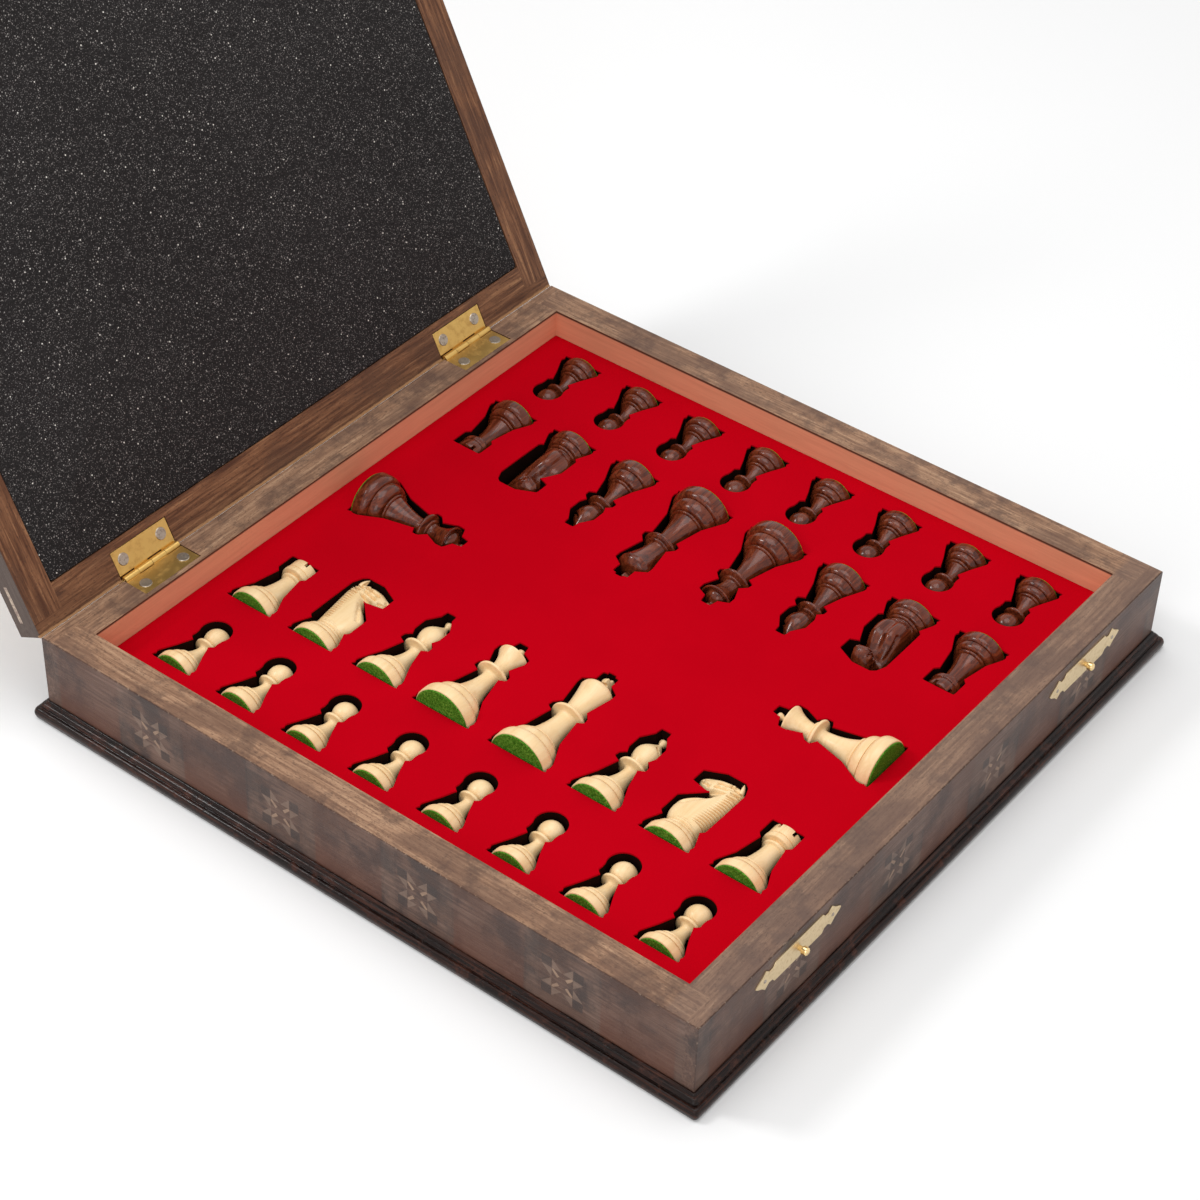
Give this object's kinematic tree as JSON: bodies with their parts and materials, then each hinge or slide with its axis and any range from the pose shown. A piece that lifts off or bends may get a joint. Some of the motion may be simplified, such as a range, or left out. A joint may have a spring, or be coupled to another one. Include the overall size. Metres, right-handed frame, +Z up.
{
  "type": "chess box with hinged lid",
  "caption": "Square wooden chess box with a hinged lid that carries the board, brass hook latches and a red and black foam tray that holds turned chessmen lying down.",
  "frame": {"origin": "centre of the flat face that the base rests on", "axes": "+Z up, -Y towards the front with the latches, +X along the hinge line to the right as seen from the front"},
  "size_m": [0.412, 0.6036, 0.4073],
  "materials": {
    "wall_wood": "satin stained beech, dark grey-brown outside and pale inside",
    "lid_wood": "satin dark brown stain with light streaks",
    "moulding_lacquer": "glossy very dark brown lacquer",
    "bottom_wood": "unfinished plywood",
    "cavity_foam": "matte black foam",
    "red_flock": "matte red flock",
    "glitter_foam": "charcoal foam with silver sparkle",
    "board_wood": "satin dark brown border",
    "light_veneer": "satin boxwood veneer",
    "dark_veneer": "satin rosewood veneer",
    "hinge_brass": "satin pressed brass",
    "nail_steel": "dull grey steel",
    "plate_brass": "matte pale brass plate",
    "stud_brass": "polished brass",
    "light_man_wood": "satin boxwood, green felt under the base",
    "dark_man_wood": "satin sheesham, green felt under the base"
  },
  "bodies": {
    "base": {"front_wall": "wall_wood", "rear_wall": "wall_wood", "left_wall": "wall_wood", "right_wall": "wall_wood", "bottom_panel": "bottom_wood", "base_moulding": "moulding_lacquer", "foam_block": "cavity_foam", "felt_sheet": "red_flock", "base_hinge_leaves": "hinge_brass", "hinge_pins": "hinge_brass", "base_nails": "nail_steel", "stud_plates": "plate_brass", "studs": "stud_brass"},
    "lid": {"lid_front_rail": "lid_wood", "lid_rear_rail": "lid_wood", "lid_left_rail": "lid_wood", "lid_right_rail": "lid_wood", "board_panel": "board_wood", "light_squares": "light_veneer", "dark_squares": "dark_veneer", "lid_foam": "glitter_foam", "lid_hinge_leaves": "hinge_brass", "lid_nails": "nail_steel", "hook_plates": "plate_brass"},
    "left_hook": {"left_hook": "stud_brass"},
    "right_hook": {"right_hook": "stud_brass"},
    "light_king": {"light_king": "light_man_wood"},
    "light_queen": {"light_queen": "light_man_wood"},
    "light_extra_queen": {"light_extra_queen": "light_man_wood"},
    "light_bishop_1": {"light_bishop_1": "light_man_wood"},
    "light_bishop_2": {"light_bishop_2": "light_man_wood"},
    "light_knight_1": {"light_knight_1": "light_man_wood"},
    "light_knight_2": {"light_knight_2": "light_man_wood"},
    "light_rook_1": {"light_rook_1": "light_man_wood"},
    "light_rook_2": {"light_rook_2": "light_man_wood"},
    "light_pawn_1": {"light_pawn_1": "light_man_wood"},
    "light_pawn_2": {"light_pawn_2": "light_man_wood"},
    "light_pawn_3": {"light_pawn_3": "light_man_wood"},
    "light_pawn_4": {"light_pawn_4": "light_man_wood"},
    "light_pawn_5": {"light_pawn_5": "light_man_wood"},
    "light_pawn_6": {"light_pawn_6": "light_man_wood"},
    "light_pawn_7": {"light_pawn_7": "light_man_wood"},
    "light_pawn_8": {"light_pawn_8": "light_man_wood"},
    "dark_king": {"dark_king": "dark_man_wood"},
    "dark_queen": {"dark_queen": "dark_man_wood"},
    "dark_extra_queen": {"dark_extra_queen": "dark_man_wood"},
    "dark_bishop_1": {"dark_bishop_1": "dark_man_wood"},
    "dark_bishop_2": {"dark_bishop_2": "dark_man_wood"},
    "dark_knight_1": {"dark_knight_1": "dark_man_wood"},
    "dark_knight_2": {"dark_knight_2": "dark_man_wood"},
    "dark_rook_1": {"dark_rook_1": "dark_man_wood"},
    "dark_rook_2": {"dark_rook_2": "dark_man_wood"},
    "dark_pawn_1": {"dark_pawn_1": "dark_man_wood"},
    "dark_pawn_2": {"dark_pawn_2": "dark_man_wood"},
    "dark_pawn_3": {"dark_pawn_3": "dark_man_wood"},
    "dark_pawn_4": {"dark_pawn_4": "dark_man_wood"},
    "dark_pawn_5": {"dark_pawn_5": "dark_man_wood"},
    "dark_pawn_6": {"dark_pawn_6": "dark_man_wood"},
    "dark_pawn_7": {"dark_pawn_7": "dark_man_wood"},
    "dark_pawn_8": {"dark_pawn_8": "dark_man_wood"}
  },
  "joints": [
    {"name": "lid_hinge", "type": "hinge", "parent": "base", "child": "lid", "pos_m": [0, 0.2, 0.0514], "axis": [-1, 0, 0], "range_deg": [-117, 0]},
    {"name": "left_hook_swing", "type": "hinge", "parent": "lid", "child": "left_hook", "pos_m": [-0.1242, 0.39046, 0.40329], "axis": [0, 0.454, 0.891], "range_deg": [-90, 0]},
    {"name": "right_hook_swing", "type": "hinge", "parent": "lid", "child": "right_hook", "pos_m": [0.1242, 0.39046, 0.40329], "axis": [0, -0.454, -0.891], "range_deg": [-90, 0]},
    {"name": "light_king_lift", "type": "slide", "parent": "base", "child": "light_king", "axis": [0, 0, 1], "range_m": [0, 0.06]},
    {"name": "light_queen_lift", "type": "slide", "parent": "base", "child": "light_queen", "axis": [0, 0, 1], "range_m": [0, 0.06]},
    {"name": "light_extra_queen_lift", "type": "slide", "parent": "base", "child": "light_extra_queen", "axis": [0, 0, 1], "range_m": [0, 0.06]},
    {"name": "light_bishop_1_lift", "type": "slide", "parent": "base", "child": "light_bishop_1", "axis": [0, 0, 1], "range_m": [0, 0.06]},
    {"name": "light_bishop_2_lift", "type": "slide", "parent": "base", "child": "light_bishop_2", "axis": [0, 0, 1], "range_m": [0, 0.06]},
    {"name": "light_knight_1_lift", "type": "slide", "parent": "base", "child": "light_knight_1", "axis": [0, 0, 1], "range_m": [0, 0.06]},
    {"name": "light_knight_2_lift", "type": "slide", "parent": "base", "child": "light_knight_2", "axis": [0, 0, 1], "range_m": [0, 0.06]},
    {"name": "light_rook_1_lift", "type": "slide", "parent": "base", "child": "light_rook_1", "axis": [0, 0, 1], "range_m": [0, 0.06]},
    {"name": "light_rook_2_lift", "type": "slide", "parent": "base", "child": "light_rook_2", "axis": [0, 0, 1], "range_m": [0, 0.06]},
    {"name": "light_pawn_1_lift", "type": "slide", "parent": "base", "child": "light_pawn_1", "axis": [0, 0, 1], "range_m": [0, 0.06]},
    {"name": "light_pawn_2_lift", "type": "slide", "parent": "base", "child": "light_pawn_2", "axis": [0, 0, 1], "range_m": [0, 0.06]},
    {"name": "light_pawn_3_lift", "type": "slide", "parent": "base", "child": "light_pawn_3", "axis": [0, 0, 1], "range_m": [0, 0.06]},
    {"name": "light_pawn_4_lift", "type": "slide", "parent": "base", "child": "light_pawn_4", "axis": [0, 0, 1], "range_m": [0, 0.06]},
    {"name": "light_pawn_5_lift", "type": "slide", "parent": "base", "child": "light_pawn_5", "axis": [0, 0, 1], "range_m": [0, 0.06]},
    {"name": "light_pawn_6_lift", "type": "slide", "parent": "base", "child": "light_pawn_6", "axis": [0, 0, 1], "range_m": [0, 0.06]},
    {"name": "light_pawn_7_lift", "type": "slide", "parent": "base", "child": "light_pawn_7", "axis": [0, 0, 1], "range_m": [0, 0.06]},
    {"name": "light_pawn_8_lift", "type": "slide", "parent": "base", "child": "light_pawn_8", "axis": [0, 0, 1], "range_m": [0, 0.06]},
    {"name": "dark_king_lift", "type": "slide", "parent": "base", "child": "dark_king", "axis": [0, 0, 1], "range_m": [0, 0.06]},
    {"name": "dark_queen_lift", "type": "slide", "parent": "base", "child": "dark_queen", "axis": [0, 0, 1], "range_m": [0, 0.06]},
    {"name": "dark_extra_queen_lift", "type": "slide", "parent": "base", "child": "dark_extra_queen", "axis": [0, 0, 1], "range_m": [0, 0.06]},
    {"name": "dark_bishop_1_lift", "type": "slide", "parent": "base", "child": "dark_bishop_1", "axis": [0, 0, 1], "range_m": [0, 0.06]},
    {"name": "dark_bishop_2_lift", "type": "slide", "parent": "base", "child": "dark_bishop_2", "axis": [0, 0, 1], "range_m": [0, 0.06]},
    {"name": "dark_knight_1_lift", "type": "slide", "parent": "base", "child": "dark_knight_1", "axis": [0, 0, 1], "range_m": [0, 0.06]},
    {"name": "dark_knight_2_lift", "type": "slide", "parent": "base", "child": "dark_knight_2", "axis": [0, 0, 1], "range_m": [0, 0.06]},
    {"name": "dark_rook_1_lift", "type": "slide", "parent": "base", "child": "dark_rook_1", "axis": [0, 0, 1], "range_m": [0, 0.06]},
    {"name": "dark_rook_2_lift", "type": "slide", "parent": "base", "child": "dark_rook_2", "axis": [0, 0, 1], "range_m": [0, 0.06]},
    {"name": "dark_pawn_1_lift", "type": "slide", "parent": "base", "child": "dark_pawn_1", "axis": [0, 0, 1], "range_m": [0, 0.06]},
    {"name": "dark_pawn_2_lift", "type": "slide", "parent": "base", "child": "dark_pawn_2", "axis": [0, 0, 1], "range_m": [0, 0.06]},
    {"name": "dark_pawn_3_lift", "type": "slide", "parent": "base", "child": "dark_pawn_3", "axis": [0, 0, 1], "range_m": [0, 0.06]},
    {"name": "dark_pawn_4_lift", "type": "slide", "parent": "base", "child": "dark_pawn_4", "axis": [0, 0, 1], "range_m": [0, 0.06]},
    {"name": "dark_pawn_5_lift", "type": "slide", "parent": "base", "child": "dark_pawn_5", "axis": [0, 0, 1], "range_m": [0, 0.06]},
    {"name": "dark_pawn_6_lift", "type": "slide", "parent": "base", "child": "dark_pawn_6", "axis": [0, 0, 1], "range_m": [0, 0.06]},
    {"name": "dark_pawn_7_lift", "type": "slide", "parent": "base", "child": "dark_pawn_7", "axis": [0, 0, 1], "range_m": [0, 0.06]},
    {"name": "dark_pawn_8_lift", "type": "slide", "parent": "base", "child": "dark_pawn_8", "axis": [0, 0, 1], "range_m": [0, 0.06]}
  ]
}
